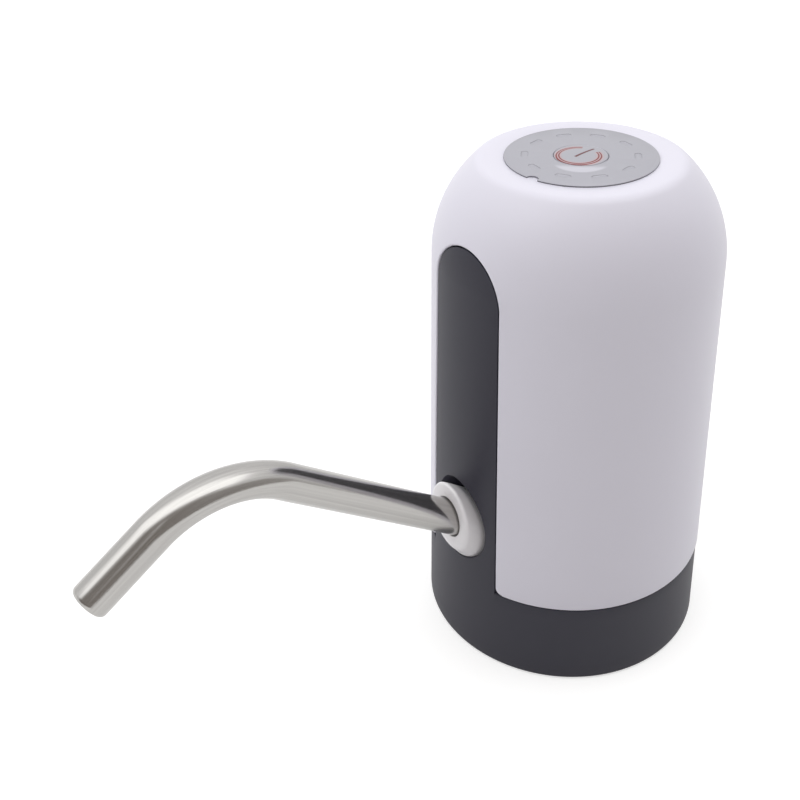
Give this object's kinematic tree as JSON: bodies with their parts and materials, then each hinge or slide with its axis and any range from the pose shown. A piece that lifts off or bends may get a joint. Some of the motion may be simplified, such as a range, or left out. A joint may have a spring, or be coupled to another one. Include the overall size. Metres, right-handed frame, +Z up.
{
  "type": "water jug pump",
  "caption": "Rechargeable pump for a water jug: domed white housing with a charcoal panel and base ring, a bent steel spout and a push button on top",
  "frame": {"origin": "centre of the base ring's lower rim, where the pump meets the jug", "axes": "+Z up, -Y is the way that the spout points, +X across"},
  "size_m": [0.0744, 0.1699, 0.1319],
  "materials": {
    "white_gloss_plastic": "white moulded ABS with a satin gloss",
    "charcoal_plastic": "fine matt charcoal moulded ABS",
    "collar_plastic": "white moulded plastic, satin",
    "polished_steel": "polished stainless steel",
    "plain_steel": "plain zinc-plated or drawn steel",
    "label_film": "grey metallic polyester film",
    "clear_silicone": "translucent food-grade silicone",
    "dark_silicone": "dark silicone",
    "natural_plastic": "unpainted engineering plastic",
    "black_plastic": "black moulded plastic",
    "brass_tag": "stamped brass",
    "nickel_strip": "nickel-plated strip",
    "copper_winding": "copper winding on a laminated core",
    "cell_wrap": null,
    "circuit_board": "solder-masked circuit board",
    "red_lead": "insulated lead",
    "black_lead": "insulated lead"
  },
  "bodies": {
    "body": {"outer_shell": "white_gloss_plastic", "lower_body": "charcoal_plastic", "neck_sleeve": "dark_silicone", "top_label": "label_film", "outlet_collar": "collar_plastic", "outlet_elbow": "natural_plastic", "inlet_nozzle": "natural_plastic", "nozzle_nut": "natural_plastic", "nozzle_gasket": "dark_silicone", "inlet_hose": "clear_silicone", "outlet_hose": "clear_silicone", "chassis": "black_plastic", "pump_cover": "natural_plastic", "valve_plate": "natural_plastic", "diaphragm": "dark_silicone", "pump_case": "black_plastic", "motor_can": "plain_steel", "motor_end_cap": "black_plastic", "pump_screw_1": "plain_steel", "pump_screw_2": "plain_steel", "pump_screw_3": "plain_steel", "motor_terminal_plus": "brass_tag", "motor_terminal_minus": "brass_tag", "battery_cell": "cell_wrap", "battery_tab_top": "nickel_strip", "battery_tab_bottom": "nickel_strip", "tact_switch": "nickel_strip", "control_board": "circuit_board", "board_screw_1": "plain_steel", "board_screw_2": "plain_steel", "board_screw_3": "plain_steel", "case_screw_1": "plain_steel", "case_screw_2": "plain_steel", "case_screw_3": "plain_steel", "charge_board": "circuit_board", "usb_socket": "nickel_strip", "motor_lead_red": "red_lead", "motor_lead_black": "black_lead", "battery_lead_red": "red_lead", "battery_lead_black": "black_lead", "charge_lead": "red_lead"},
    "button": {"button_cap": "label_film", "switch_plunger": "black_plastic"},
    "spout_bush": {"spout_bush": "clear_silicone"},
    "spout": {"spout_tube": "polished_steel"},
    "rotor": {"motor_shaft": "plain_steel", "motor_armature": "copper_winding", "eccentric_cam": "natural_plastic", "cam_pin": "plain_steel"},
    "wobble": {"wobble_plate": "natural_plastic"}
  },
  "joints": [
    {"name": "button_press", "type": "slide", "parent": "body", "child": "button", "axis": [0, 0, -1], "range_m": [0, 0.0006], "stiffness_N_per_m": 1500},
    {"name": "spout_turn", "type": "hinge", "parent": "body", "child": "spout_bush", "pos_m": [0, -0.03655, 0.041], "axis": [0, -0.8039, 0.5948], "continuous": true},
    {"name": "spout_pull", "type": "slide", "parent": "spout_bush", "child": "spout", "axis": [0, -0.8039, 0.5948], "range_m": [0, 0.015]},
    {"name": "rotor_spin", "type": "hinge", "parent": "body", "child": "rotor", "pos_m": [-0.006, 0.005, 0.0576], "axis": [0, 0, 1], "continuous": true},
    {"name": "wobble_roll", "type": "hinge", "parent": "rotor", "child": "wobble", "pos_m": [-0.006, 0.005, 0.0576], "axis": [0, -0.1219, 0.9925], "continuous": true}
  ],
  "couplings": [
    {"joint": "wobble_roll", "follows": "rotor_spin", "ratio": -1}
  ]
}
